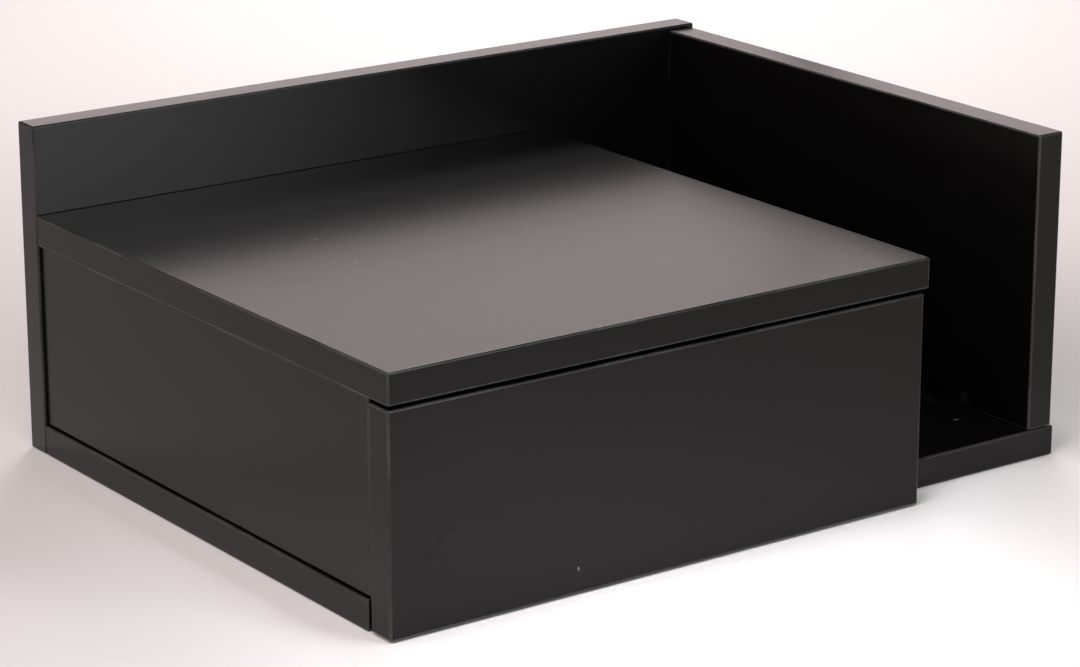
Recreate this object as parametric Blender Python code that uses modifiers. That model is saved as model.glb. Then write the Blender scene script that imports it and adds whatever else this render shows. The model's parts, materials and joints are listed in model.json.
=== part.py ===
"""A small wall-hung desk hutch of black lacquered board: one handleless drawer under a shelf, and an open
niche beside it.

Every board, runner member, latch piece and fastener is its own object. The frame: +X to the viewer's right,
+Y to the wall, +Z up, with the origin under the middle of the hutch, on the surface that it can stand on.
The drawer slides towards -Y. All sizes are in metres.
"""

import math

import bmesh
import bpy
from mathutils import Matrix, Vector

# Overall sizes
WIDTH = 0.400
DEPTH = 0.320
HEIGHT = 0.165
BOARD = 0.015  # thickness of the lacquered boards
ARRIS = 0.001  # rounding of a lacquered board's edges
GAP = 0.0003  # left between pieces that touch, and round a fastener in its hole

# Carcass
TOP_WIDTH = 0.300  # the shelf over the drawer
TOP_SURFACE = 0.121  # height of the shelf's upper face
SIDE_SETBACK = 0.0018  # the side boards stand this far inside the ends of the bottom, top and back
RIGHT_SIDE_DROP = 0.002  # the right side ends this far below the back's top edge

# Drawer front
PRESS_GAP = 0.0025  # behind the front, so that it can be pushed in to release the latch
FRONT_TOP_REVEAL = 0.0018
FRONT_BOTTOM_REVEAL = 0.001
FRONT_RIGHT_REVEAL = 0.003

# Drawer box
RUNNER_SPACE = 0.0127  # between the carcass and the box, on each side
BOX_WALL = 0.012
BOX_HEIGHT = 0.062
BOX_LENGTH = 0.250
BOX_LIFT = 0.015  # clear space under the box
BOX_ARRIS = 0.0006
FLOOR_SHEET = 0.003
FLOOR_ARRIS = 0.0003
FLOOR_LIFT = 0.006  # the floor's groove starts this far above the walls' lower edges
GROOVE_DEPTH = 0.005

# Ball-bearing runners: a cabinet, a middle and a drawer member, with a ball cage between each two
RUNNER_LENGTH = 0.250
RUNNER_HEIGHT = 0.035
RUNNER_SHEET = 0.001
RUNNER_SETBACK = 0.0025  # behind the carcass's front edges
RUNNER_LIFT = 0.020  # the runner's middle, above the box's lower edge
BALL_RADIUS = 0.0016
BALL_CLEARANCE = 0.0002
BALLS_PER_ROW = 4
CAGE_SHEET = 0.0005
CAGE_LENGTH = 0.090
ACCESS_HOLE_RADIUS = 0.004

# Push latch, pressed into the divider's front edge
LATCH_HEIGHT = 0.062
LATCH_RADIUS = 0.005
LATCH_LENGTH = 0.076
LATCH_WALL = 0.0016
LATCH_COLLAR_RADIUS = 0.0062
LATCH_COLLAR = 0.0012
PLUNGER_LENGTH = 0.052
PLUNGER_TIP_RADIUS = 0.0028
PLUNGER_TIP = 0.004
STRIKE_RADIUS = 0.006
STRIKE_SHEET = 0.001
SPRING_WIRE_RADIUS = 0.0003
SPRING_TURNS = 6
SPRING_POINTS_PER_TURN = 8

# Keyhole hanger plates, let into the back's rear face
HANGER_INSET = 0.040  # the plate's middle, from the back's end
HANGER_DROP = 0.032  # the plate's middle, below the back's top edge
HANGER_WIDTH = 0.016
HANGER_LENGTH = 0.044
HANGER_SHEET = 0.002
HANGER_ARRIS = 0.0004
KEYHOLE_RADIUS = 0.005
KEYHOLE_SLOT_RADIUS = 0.0025
KEYHOLE_SLOT_LENGTH = 0.010
HEAD_POCKET_DEPTH = 0.010  # behind the rear face, for the wall screw's head
HEAD_POCKET_MARGIN = 0.001
HANGER_SCREW_INSET = 0.006

# Chipboard screws through the back and the bottom
PANEL_SCREW_LENGTH = 0.045
PANEL_SCREW_HEAD = 0.0048  # radii
PANEL_SCREW_SHANK = 0.0025
PANEL_SCREW_RIM = 0.0008  # thickness of the head's straight rim, above its cone
PANEL_SCREW_SOCKET = 0.0022  # the hexagon socket's radius, and its depth
PANEL_SCREW_INSET = 0.075  # from the ends of a side board's lower edge
BACK_TO_TOP_INSET = 0.080  # from the ends of the shelf's rear edge
BACK_TO_BOTTOM_INSET = 0.080
BACK_TO_SIDE_HEIGHT = 0.060
BACK_TO_RIGHT_HIGH = 0.030  # below the right side's top edge

# Small countersunk screws, for the runners and the hangers
SMALL_SCREW_LENGTH = 0.010
SMALL_SCREW_HEAD = 0.0028
SMALL_SCREW_SHANK = 0.0015
SMALL_SCREW_RIM = 0.0003
RUNNER_SCREW_INSETS = (0.035, 0.195)  # from the runner's front end

# Screws that hold the drawer's front
FRONT_SCREW_LENGTH = 0.022
FRONT_SCREW_HEAD = 0.0045
FRONT_SCREW_SHANK = 0.0019
FRONT_SCREW_RISE = 0.0022  # of the domed head
FRONT_SCREW_SPACING = 0.140
FRONT_SCREW_HEIGHT = 0.037  # above the box's lower edge

# Cams in the left side and the divider, and the bolts that they draw down
CAM_RADIUS = 0.0075
CAM_THICKNESS = 0.0125
CAM_DROP = 0.024  # the cam's middle, below the side board's top edge
CAM_INSET = 0.045  # behind the carcass's front edges
CAM_BOLT_DEPTH = 0.010  # of the bolt in the shelf
CAM_BOLT_THREAD = 0.0025  # radii
CAM_BOLT_SHANK = 0.003
CAM_BOLT_NECK = 0.0022
CAM_BOLT_NECK_LENGTH = 0.003
CAM_BOLT_HEAD_LENGTH = 0.002

SCREW_TIP = 0.0006  # radius of a screw's blunt point
SCREW_POINT = 0.0025  # length of its taper
SLOT_WIDTH = 0.0008  # of a cross recess
CUTTER_REACH = 0.002  # how far a cutter runs past the face that it opens
SIDES = 12  # facets round a fastener

# Places that follow from the sizes
LEFT, RIGHT = -WIDTH / 2, WIDTH / 2
FRONT, REAR = -DEPTH / 2, DEPTH / 2
BACK_FACE = REAR - BOARD
EDGE_PLANE = FRONT + BOARD + PRESS_GAP  # the front edges of the bottom and the side boards
SHELF_UNDERSIDE = TOP_SURFACE - BOARD
SHELF_END = LEFT + TOP_WIDTH
LEFT_WALL = LEFT + SIDE_SETBACK + BOARD  # inner face of the left side
DIVIDER_RIGHT = SHELF_END - SIDE_SETBACK
DIVIDER_WALL = DIVIDER_RIGHT - BOARD  # inner face of the divider
RIGHT_OUTER = RIGHT - SIDE_SETBACK
BOX_LEFT = LEFT_WALL + RUNNER_SPACE
BOX_RIGHT = DIVIDER_WALL - RUNNER_SPACE
BOX_BOTTOM = BOARD + BOX_LIFT
BOX_FRONT = FRONT + BOARD + GAP
BOX_REAR = BOX_FRONT + BOX_LENGTH
RUNNER_FRONT = EDGE_PLANE + RUNNER_SETBACK
RUNNER_MIDDLE = BOX_BOTTOM + RUNNER_LIFT


# ---------------------------------------------------------------- scene helpers


def clear_scene():
    for obj in list(bpy.data.objects):
        bpy.data.objects.remove(obj)


def new_collection(name, parent):
    made = bpy.data.collections.new(name)
    parent.children.link(made)
    return made


clear_scene()
PARTS = new_collection("desk_hutch", bpy.context.scene.collection)
CUTTERS = new_collection("cutters", bpy.context.scene.collection)


def principled(name, colour, roughness, metallic=0.0):
    made = bpy.data.materials.new(name)
    made.use_nodes = True
    shader = made.node_tree.nodes["Principled BSDF"]
    shader.inputs["Base Color"].default_value = (*colour, 1.0)
    shader.inputs["Roughness"].default_value = roughness
    shader.inputs["Metallic"].default_value = metallic
    return made


LACQUER = principled("black_lacquer", (0.018, 0.017, 0.017), 0.32)
FOIL = principled("drawer_foil", (0.030, 0.029, 0.028), 0.55)
HARDBOARD = principled("hardboard", (0.035, 0.033, 0.031), 0.6)
ZINC = principled("zinc_plate", (0.62, 0.63, 0.65), 0.35, 1.0)
STEEL = principled("bearing_steel", (0.70, 0.70, 0.72), 0.2, 1.0)
PLASTIC = principled("grey_plastic", (0.22, 0.22, 0.23), 0.45)


def add_part(name, mesh, material, matrix=None):
    """A new object of the hutch. Copies of a repeated piece share one mesh."""
    obj = bpy.data.objects.new(name, mesh)
    if not mesh.materials:
        mesh.materials.append(material)
    PARTS.objects.link(obj)
    obj.matrix_world = matrix or Matrix.Identity(4)
    return obj


def as_cutter(mesh, matrix):
    """A hidden object that only cuts others."""
    obj = bpy.data.objects.new("cutter", mesh)
    CUTTERS.objects.link(obj)
    obj.matrix_world = matrix
    obj.hide_render = True
    obj.display_type = "WIRE"
    return obj


def evaluated_mesh(obj):
    """The mesh that an object's modifiers make. The object is removed."""
    bpy.context.view_layer.update()
    graph = bpy.context.evaluated_depsgraph_get()
    made = bpy.data.meshes.new_from_object(obj.evaluated_get(graph))
    made.name = obj.name
    bpy.data.objects.remove(obj)
    return made


def add_boolean(obj, operation, others):
    """Joins others to obj, or cuts them from it. Each object keeps its own collection of them."""
    group = new_collection(f"{operation.lower()}_{obj.name}", CUTTERS)
    for other in others:
        group.objects.link(other)
    modifier = obj.modifiers.new(operation.lower(), "BOOLEAN")
    modifier.operation = operation
    modifier.solver = "EXACT"
    modifier.operand_type = "COLLECTION"
    modifier.collection = group


def cut(obj, cutters):
    add_boolean(obj, "DIFFERENCE", cutters)


# ---------------------------------------------------------------- shapes


def box_mesh(name, low, high):
    mesh = bpy.data.meshes.new(name)
    shape = bmesh.new()
    bmesh.ops.create_cube(shape, size=1.0)
    size = Vector(high) - Vector(low)
    middle = (Vector(high) + Vector(low)) / 2
    place = Matrix.Translation(middle) @ Matrix.Diagonal((*size, 1.0))
    bmesh.ops.transform(shape, matrix=place, verts=shape.verts)
    shape.to_mesh(mesh)
    shape.free()
    return mesh


def board(name, low, high, material=None, arris=ARRIS):
    """A board with rounded edges, between two corners in the hutch's frame."""
    obj = add_part(name, box_mesh(name, low, high), material or LACQUER)
    bevel = obj.modifiers.new("arris", "BEVEL")
    bevel.width = arris
    bevel.segments = 2
    bevel.limit_method = "NONE"
    return obj


def box_cutter(low, high):
    return as_cutter(box_mesh("cutter", low, high), Matrix.Identity(4))


def turned_mesh(name, profile, sides=SIDES):
    """The solid that a line of (radius, height) points makes about Z. The line starts and ends on the axis,
    and runs down its outer side."""
    line = bpy.data.meshes.new(name)
    steps = range(len(profile) - 1)
    line.from_pydata([(radius, 0, height) for radius, height in profile], [(i, i + 1) for i in steps], [])
    obj = bpy.data.objects.new(name, line)
    bpy.context.scene.collection.objects.link(obj)
    turn = obj.modifiers.new("turn", "SCREW")
    turn.steps = turn.render_steps = sides
    turn.use_merge_vertices = True
    turn.merge_threshold = 0.00001
    mesh = evaluated_mesh(obj)
    shape = bmesh.new()
    shape.from_mesh(mesh)
    bmesh.ops.remove_doubles(shape, verts=shape.verts, dist=0.000001)
    shape.to_mesh(mesh)
    shape.free()
    mesh.shade_smooth()
    mesh.set_sharp_from_angle(angle=math.radians(35))
    return mesh


def facing(place, direction):
    """The matrix that puts a turned piece's top at place, with its +Z along direction."""
    return Matrix.Translation(place) @ Vector(direction).to_track_quat("Z", "Y").to_matrix().to_4x4()


def arc(centre, radius, start, end, steps):
    """Points on an arc in the X-Z plane, from one angle to another in degrees."""
    angles = [math.radians(start + (end - start) * i / steps) for i in range(steps + 1)]
    return [(centre[0] + radius * math.cos(a), centre[1] + radius * math.sin(a)) for a in angles]


def strip(name, line, wall, inward, span, sheet, material):
    """Sheet metal bent along a line of (distance from the carcass wall, height) points, and drawn along Y.
    inward is 1 where the drawer lies on the wall's +X side, and -1 where it lies on its -X side."""
    mesh = bpy.data.meshes.new(name)
    points = [(wall + inward * away, y, RUNNER_MIDDLE + height) for y in span for away, height in line]
    count = len(line)
    faces = [(i, i + 1, count + i + 1, count + i) for i in range(count - 1)]
    mesh.from_pydata(points, [], faces)
    obj = add_part(name, mesh, material)
    solid = obj.modifiers.new("sheet", "SOLIDIFY")
    solid.thickness = sheet
    solid.offset = 0.0
    solid.use_even_offset = True
    return obj


# ---------------------------------------------------------------- fasteners


def grown(profile, by, reach):
    """A fastener's profile made larger all round, for its hole. The head's end runs on by reach."""
    top, bottom = profile[0][1], profile[-1][1]
    wider = [(radius + by if radius > 0 else 0, height) for radius, height in profile]
    ends = {top: top + reach, bottom: bottom - by}
    return [(radius, ends.get(height, height)) for radius, height in wider]


def round_cutter(radius, depth, matrix, sides=SIDES):
    """A cylinder down from just above the matrix's origin."""
    profile = [(0, CUTTER_REACH), (radius, CUTTER_REACH), (radius, -depth), (0, -depth)]
    return as_cutter(turned_mesh("round", profile, sides), matrix)


def cross_cutters(length, depth, top=0.0):
    """The two slots of a cross recess, cut down from the height of top."""
    half, narrow = length / 2, SLOT_WIDTH / 2
    return [
        box_cutter((-half, -narrow, top - depth), (half, narrow, top + CUTTER_REACH)),
        box_cutter((-narrow, -half, top - depth), (narrow, half, top + CUTTER_REACH)),
    ]


class Fastener:
    """One kind of fastener: its solid, and the larger shape that its hole is cut with. Both have their top at
    the origin and run down -Z."""

    def __init__(self, name, profile, material, recess=()):
        self.material = material
        self.hole = turned_mesh(f"{name}_hole", grown(profile, GAP, CUTTER_REACH))
        body = bpy.data.objects.new(name, turned_mesh(name, profile))
        bpy.context.scene.collection.objects.link(body)
        if recess:
            add_boolean(body, "DIFFERENCE", recess)
        self.solid = evaluated_mesh(body)

    def fit(self, name, place, direction, boards):
        """Puts one in, with its head at place and facing along direction, and gives the boards its hole."""
        matrix = facing(place, direction)
        add_part(name, self.solid, self.material, matrix)
        hole = as_cutter(self.hole, matrix)
        for each in boards:
            HOLES.setdefault(each, []).append(hole)


HOLES = {}  # board's name to the holes that fasteners need in it


def drill_boards():
    for name, holes in HOLES.items():
        cut(bpy.data.objects[name], holes)


def countersunk(length, head, shank, rim):
    """The profile of a screw whose head narrows at 45 degrees below its rim."""
    return [
        (0, 0),
        (head, 0),
        (head, -rim),
        (shank, shank - head - rim),
        (shank, SCREW_POINT - length),
        (SCREW_TIP, -length),
        (0, -length),
    ]


def panel_screw():
    """A chipboard screw with a hexagon socket."""
    profile = countersunk(PANEL_SCREW_LENGTH, PANEL_SCREW_HEAD, PANEL_SCREW_SHANK, PANEL_SCREW_RIM)
    hexagon = round_cutter(PANEL_SCREW_SOCKET, PANEL_SCREW_SOCKET, Matrix.Identity(4), sides=6)
    return Fastener("panel_screw", profile, ZINC, [hexagon])


def small_screw():
    """A countersunk screw with a cross recess."""
    profile = countersunk(SMALL_SCREW_LENGTH, SMALL_SCREW_HEAD, SMALL_SCREW_SHANK, SMALL_SCREW_RIM)
    recess = cross_cutters(SMALL_SCREW_HEAD * 1.1, SMALL_SCREW_SHANK * 0.6)
    return Fastener("small_screw", profile, ZINC, recess)


def front_screw():
    """A screw with a domed head and a cross recess. Its origin is on the face that the head rests on."""
    head, rise = FRONT_SCREW_HEAD, FRONT_SCREW_RISE
    profile = [
        (0, rise),
        (head * 0.7, rise),
        (head, rise / 3),
        (head, GAP),
        (FRONT_SCREW_SHANK, GAP),
        (FRONT_SCREW_SHANK, SCREW_POINT - FRONT_SCREW_LENGTH),
        (SCREW_TIP, -FRONT_SCREW_LENGTH),
        (0, -FRONT_SCREW_LENGTH),
    ]
    return Fastener("front_screw", profile, ZINC, cross_cutters(head, rise / 2, top=rise))


def cam_bolt():
    """The steel bolt that hangs from the shelf, with its head in the cam."""
    cam_middle = -CAM_BOLT_DEPTH - GAP - CAM_DROP
    head_top = cam_middle + CAM_BOLT_HEAD_LENGTH / 2
    head_end = cam_middle - CAM_BOLT_HEAD_LENGTH / 2
    neck_top = head_top + CAM_BOLT_NECK_LENGTH
    shoulder = CAM_BOLT_SHANK - CAM_BOLT_NECK  # each step between two radii is a 45 degree cone
    profile = [
        (0, 0),
        (CAM_BOLT_THREAD, 0),
        (CAM_BOLT_THREAD, -CAM_BOLT_DEPTH),
        (CAM_BOLT_SHANK, -CAM_BOLT_DEPTH - GAP),
        (CAM_BOLT_SHANK, neck_top + shoulder),
        (CAM_BOLT_NECK, neck_top),
        (CAM_BOLT_NECK, head_top + shoulder),
        (CAM_BOLT_SHANK, head_top),
        (CAM_BOLT_SHANK, head_end),
        (0, head_end),
    ]
    bolt = Fastener("cam_bolt", profile, STEEL)
    # The hole has no step at the neck, so that the bolt can be pushed in.
    around_thread, around_shank = CAM_BOLT_THREAD + GAP, CAM_BOLT_SHANK + GAP
    hole = [
        (0, GAP),
        (around_thread, GAP),
        (around_thread, -CAM_BOLT_DEPTH),
        (around_shank, -CAM_BOLT_DEPTH - GAP / 2),
        (around_shank, head_end - GAP),
        (0, head_end - GAP),
    ]
    bolt.hole = turned_mesh("cam_bolt_hole", hole)
    return bolt


def cam_lock():
    """The round zinc cam, whose open side the bolt's hole cuts."""
    profile = [(0, 0), (CAM_RADIUS, 0), (CAM_RADIUS, -CAM_THICKNESS), (0, -CAM_THICKNESS)]
    return Fastener("cam_lock", profile, ZINC, cross_cutters(CAM_RADIUS, CAM_THICKNESS / 6))


# ---------------------------------------------------------------- carcass


def carcass_boards():
    board("back_panel", (LEFT, BACK_FACE, 0), (RIGHT, REAR, HEIGHT))
    board("bottom_panel", (LEFT, EDGE_PLANE, 0), (RIGHT, BACK_FACE - GAP, BOARD))
    board("top_panel", (LEFT, FRONT, SHELF_UNDERSIDE), (SHELF_END, BACK_FACE - GAP, TOP_SURFACE))
    stands, under_shelf = BOARD + GAP, SHELF_UNDERSIDE - GAP
    board(
        "left_side_panel",
        (LEFT_WALL - BOARD, EDGE_PLANE, stands),
        (LEFT_WALL, BACK_FACE - GAP, under_shelf),
    )
    board(
        "divider_panel",
        (DIVIDER_WALL, EDGE_PLANE, stands),
        (DIVIDER_RIGHT, BACK_FACE - GAP, under_shelf),
    )
    board(
        "right_side_panel",
        (RIGHT_OUTER - BOARD, EDGE_PLANE, stands),
        (RIGHT_OUTER, BACK_FACE - GAP, HEIGHT - RIGHT_SIDE_DROP),
    )


def carcass_screws():
    """Screws through the back and the bottom, into the edges of the boards that meet them."""
    screw = panel_screw()
    half = BOARD / 2
    middles = {
        "left_side_panel": LEFT_WALL - half,
        "divider_panel": DIVIDER_WALL + half,
        "right_side_panel": RIGHT_OUTER - half,
    }
    sunk = GAP  # the heads lie just under the face
    from_back = [
        ("top_panel", LEFT + BACK_TO_TOP_INSET, SHELF_UNDERSIDE + half),
        ("top_panel", SHELF_END - BACK_TO_TOP_INSET, SHELF_UNDERSIDE + half),
        ("left_side_panel", middles["left_side_panel"], BACK_TO_SIDE_HEIGHT),
        ("divider_panel", middles["divider_panel"], BACK_TO_SIDE_HEIGHT),
        ("right_side_panel", middles["right_side_panel"], BACK_TO_SIDE_HEIGHT),
        ("right_side_panel", middles["right_side_panel"], HEIGHT - RIGHT_SIDE_DROP - BACK_TO_RIGHT_HIGH),
        ("bottom_panel", LEFT + BACK_TO_BOTTOM_INSET, half),
        ("bottom_panel", RIGHT - BACK_TO_BOTTOM_INSET, half),
    ]
    for number, (name, x, z) in enumerate(from_back, 1):
        screw.fit(f"back_screw_{number}", (x, REAR - sunk, z), (0, 1, 0), ["back_panel", name])
    ends = (EDGE_PLANE + PANEL_SCREW_INSET, BACK_FACE - PANEL_SCREW_INSET)
    from_below = [(name, x, y) for name, x in middles.items() for y in ends]
    for number, (name, x, y) in enumerate(from_below, 1):
        screw.fit(f"bottom_screw_{number}", (x, y, sunk), (0, 0, -1), ["bottom_panel", name])


def shelf_cams():
    """A cam in each of the boards under the shelf, and the bolt that it draws down."""
    cam, bolt = cam_lock(), cam_bolt()
    y = EDGE_PLANE + CAM_INSET
    z = SHELF_UNDERSIDE - GAP - CAM_DROP
    seats = {"left": (LEFT_WALL, 1, "left_side_panel"), "right": (DIVIDER_WALL, -1, "divider_panel")}
    for side, (wall, inward, panel) in seats.items():
        cam.fit(f"cam_lock_{side}", (wall - inward * GAP, y, z), (inward, 0, 0), [panel])
        top = (wall - inward * BOARD / 2, y, SHELF_UNDERSIDE + CAM_BOLT_DEPTH)
        bolt.fit(f"cam_bolt_{side}", top, (0, 0, 1), ["top_panel", panel, f"cam_lock_{side}"])


# ---------------------------------------------------------------- hangers


def keyhole_cutters(x, entry):
    """A hanger plate's keyhole: a round entry, and a slot that runs up from it."""
    cutters = []
    for radius, z in ((KEYHOLE_RADIUS, entry), (KEYHOLE_SLOT_RADIUS, entry + KEYHOLE_SLOT_LENGTH)):
        depth = HANGER_SHEET + CUTTER_REACH
        cutters.append(round_cutter(radius, depth, facing((x, REAR - GAP, z), (0, 1, 0)), 2 * SIDES))
    low = (x - KEYHOLE_SLOT_RADIUS, REAR - GAP - HANGER_SHEET - CUTTER_REACH, entry)
    high = (x + KEYHOLE_SLOT_RADIUS, REAR + CUTTER_REACH, entry + KEYHOLE_SLOT_LENGTH)
    return [*cutters, box_cutter(low, high)]


def hangers():
    """Two keyhole plates, flush with the rear face, over pockets that take the heads of the wall screws."""
    screw = small_screw()
    z = HEIGHT - HANGER_DROP
    entry = z - KEYHOLE_SLOT_LENGTH / 2
    face = REAR - GAP
    half_width, half_length = HANGER_WIDTH / 2, HANGER_LENGTH / 2
    for side, x in (("left", LEFT + HANGER_INSET), ("right", RIGHT - HANGER_INSET)):
        plate = board(
            f"hanger_plate_{side}",
            (x - half_width, face - HANGER_SHEET, z - half_length),
            (x + half_width, face, z + half_length),
            ZINC,
            HANGER_ARRIS,
        )
        HOLES.setdefault(plate.name, []).extend(keyhole_cutters(x, entry))
        seat = box_cutter(
            (x - half_width - GAP, face - HANGER_SHEET - GAP, z - half_length - GAP),
            (x + half_width + GAP, REAR + CUTTER_REACH, z + half_length + GAP),
        )
        pocket_side = KEYHOLE_RADIUS + HEAD_POCKET_MARGIN
        pocket = box_cutter(
            (x - pocket_side, REAR - HEAD_POCKET_DEPTH, entry - pocket_side),
            (x + pocket_side, REAR, entry + KEYHOLE_SLOT_LENGTH + pocket_side),
        )
        HOLES.setdefault("back_panel", []).extend([seat, pocket])
        for end, lean in (("lower", -1), ("upper", 1)):
            place = (x, face - GAP, z + lean * (half_length - HANGER_SCREW_INSET))
            screw.fit(f"hanger_screw_{side}_{end}", place, (0, 1, 0), [plate.name, "back_panel"])


# ---------------------------------------------------------------- drawer


def drawer_front():
    board(
        "drawer_front",
        (LEFT, FRONT, FRONT_BOTTOM_REVEAL),
        (SHELF_END - FRONT_RIGHT_REVEAL, FRONT + BOARD, SHELF_UNDERSIDE - FRONT_TOP_REVEAL),
    )


def drawer_box():
    """Four walls with a groove inside, and the floor that lies in it."""
    top = BOX_BOTTOM + BOX_HEIGHT
    inner_left, inner_right = BOX_LEFT + BOX_WALL, BOX_RIGHT - BOX_WALL
    walls = {
        "drawer_left_side": ((BOX_LEFT, BOX_FRONT), (inner_left, BOX_REAR)),
        "drawer_right_side": ((inner_right, BOX_FRONT), (BOX_RIGHT, BOX_REAR)),
        "drawer_inner_front": ((inner_left + GAP, BOX_FRONT), (inner_right - GAP, BOX_FRONT + BOX_WALL)),
        "drawer_back": ((inner_left + GAP, BOX_REAR - BOX_WALL), (inner_right - GAP, BOX_REAR)),
    }
    floor_bottom = BOX_BOTTOM + FLOOR_LIFT
    reach = GROOVE_DEPTH - GAP
    groove = box_cutter(
        (inner_left - GROOVE_DEPTH, BOX_FRONT + BOX_WALL - GROOVE_DEPTH, floor_bottom - GAP),
        (inner_right + GROOVE_DEPTH, BOX_REAR - BOX_WALL + GROOVE_DEPTH, floor_bottom + FLOOR_SHEET + GAP),
    )
    for name, (low, high) in walls.items():
        board(name, (*low, BOX_BOTTOM), (*high, top), FOIL, BOX_ARRIS)
        HOLES.setdefault(name, []).append(groove)
    board(
        "drawer_floor",
        (inner_left - reach, BOX_FRONT + BOX_WALL - reach, floor_bottom),
        (inner_right + reach, BOX_REAR - BOX_WALL + reach, floor_bottom + FLOOR_SHEET),
        HARDBOARD,
        FLOOR_ARRIS,
    )


def front_screws():
    screw = front_screw()
    middle = (BOX_LEFT + BOX_RIGHT) / 2
    y = BOX_FRONT + BOX_WALL
    z = BOX_BOTTOM + FRONT_SCREW_HEIGHT
    for side, lean in (("left", -0.5), ("right", 0.5)):
        place = (middle + lean * FRONT_SCREW_SPACING, y, z)
        screw.fit(f"front_screw_{side}", place, (0, 1, 0), ["drawer_inner_front", "drawer_front"])


# ---------------------------------------------------------------- runners


def runner_lines():
    """The bent lines of the three members and the two cages, as (distance from the wall, height) points, and
    the middles of the two ball rows above the runner's middle."""
    track = BALL_RADIUS + BALL_CLEARANCE + RUNNER_SHEET / 2  # a track's radius, to the middle of its sheet
    web = GAP + RUNNER_SHEET / 2
    outer = (web + track, RUNNER_HEIGHT / 2 - RUNNER_SHEET / 2 - track)
    lean = math.radians(-50)  # from an outer ball to the inner one below it
    inner = (outer[0] + 2 * track * math.cos(lean), outer[1] + 2 * track * math.sin(lean))
    drawer_web = RUNNER_SPACE - GAP - RUNNER_SHEET / 2

    def whole(upper):
        """The upper half of a line, run on into its mirror image below."""
        return upper + [(away, -height) for away, height in reversed(upper)]

    cabinet = whole(arc(outer, track, 25, 180, 6))
    over_inner = arc(inner, track, 20, 130, 4)
    under_outer = arc(outer, track, 310, 262, 2)
    middle = whole(over_inner + under_outer)
    drawer_lip = arc(inner, track, 245, 325, 4)
    drawer = whole(drawer_lip + [(drawer_web, drawer_lip[-1][1])])
    middle_web = under_outer[-1][0]
    half = RUNNER_SHEET / 2
    outer_cage_web = (web + middle_web) / 2
    inner_cage_web = (middle_web + half + drawer_lip[0][0] - half / 2) / 2
    grip = BALL_RADIUS * 0.9
    outer_cage = whole([(outer[0] + grip, outer[1]), (outer_cage_web, outer[1])])
    inner_cage = whole([(inner[0] + grip, inner[1]), (inner_cage_web, inner[1])])
    return {
        "cabinet": cabinet,
        "middle": middle,
        "drawer": drawer,
        "outer_cage": (outer_cage, outer),
        "inner_cage": (inner_cage, inner),
        "cabinet_face": GAP + RUNNER_SHEET,
        "drawer_face": drawer_web - half,
        "middle_web": middle_web,
    }


def ball_mesh():
    mesh = bpy.data.meshes.new("ball")
    shape = bmesh.new()
    bmesh.ops.create_uvsphere(shape, u_segments=6, v_segments=4, radius=BALL_RADIUS)
    shape.to_mesh(mesh)
    shape.free()
    return mesh


def ball_cage(name, line, row, wall, inward, front):
    """A bent strip that carries a row of balls at its top and at its bottom."""
    obj = strip(name, line, wall, inward, (front, front + CAGE_LENGTH), CAGE_SHEET, STEEL)
    pitch = CAGE_LENGTH / BALLS_PER_ROW
    ball = ball_mesh()
    balls = []
    for height in (row[1], -row[1]):
        for i in range(BALLS_PER_ROW):
            place = (wall + inward * row[0], front + pitch * (i + 0.5), RUNNER_MIDDLE + height)
            balls.append(as_cutter(ball, Matrix.Translation(place)))
    add_boolean(obj, "UNION", balls)


def access_holes(wall, inward, web):
    """Round openings in a middle member, through which the drawer member's screws are reached."""
    places = [(wall + inward * web, RUNNER_FRONT + inset, RUNNER_MIDDLE) for inset in RUNNER_SCREW_INSETS]
    return [round_cutter(ACCESS_HOLE_RADIUS, CUTTER_REACH, facing(place, (inward, 0, 0))) for place in places]


def runners():
    lines = runner_lines()
    screw = small_screw()
    span = (RUNNER_FRONT, RUNNER_FRONT + RUNNER_LENGTH)
    cage_front = RUNNER_FRONT + (RUNNER_LENGTH - CAGE_LENGTH) / 2
    sides = {
        "left": (LEFT_WALL, 1, "left_side_panel", "drawer_left_side"),
        "right": (DIVIDER_WALL, -1, "divider_panel", "drawer_right_side"),
    }
    for side, (wall, inward, panel, box_side) in sides.items():
        cabinet = strip(f"runner_cabinet_{side}", lines["cabinet"], wall, inward, span, RUNNER_SHEET, ZINC)
        middle = strip(f"runner_middle_{side}", lines["middle"], wall, inward, span, RUNNER_SHEET, ZINC)
        drawer = strip(f"runner_drawer_{side}", lines["drawer"], wall, inward, span, RUNNER_SHEET, ZINC)
        HOLES.setdefault(middle.name, []).extend(access_holes(wall, inward, lines["middle_web"]))
        for kind in ("outer_cage", "inner_cage"):
            line, row = lines[kind]
            ball_cage(f"ball_{kind}_{side}", line, row, wall, inward, cage_front)
        for number, inset in enumerate(RUNNER_SCREW_INSETS, 1):
            y = RUNNER_FRONT + inset
            for kind, face, facing_way, held in (
                ("cabinet", lines["cabinet_face"] - GAP / 2, inward, (cabinet.name, panel)),
                ("drawer", lines["drawer_face"] + GAP / 2, -inward, (drawer.name, box_side)),
            ):
                place = (wall + inward * face, y, RUNNER_MIDDLE)
                screw.fit(f"{kind}_runner_screw_{side}_{number}", place, (facing_way, 0, 0), held)


# ---------------------------------------------------------------- push latch


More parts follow.
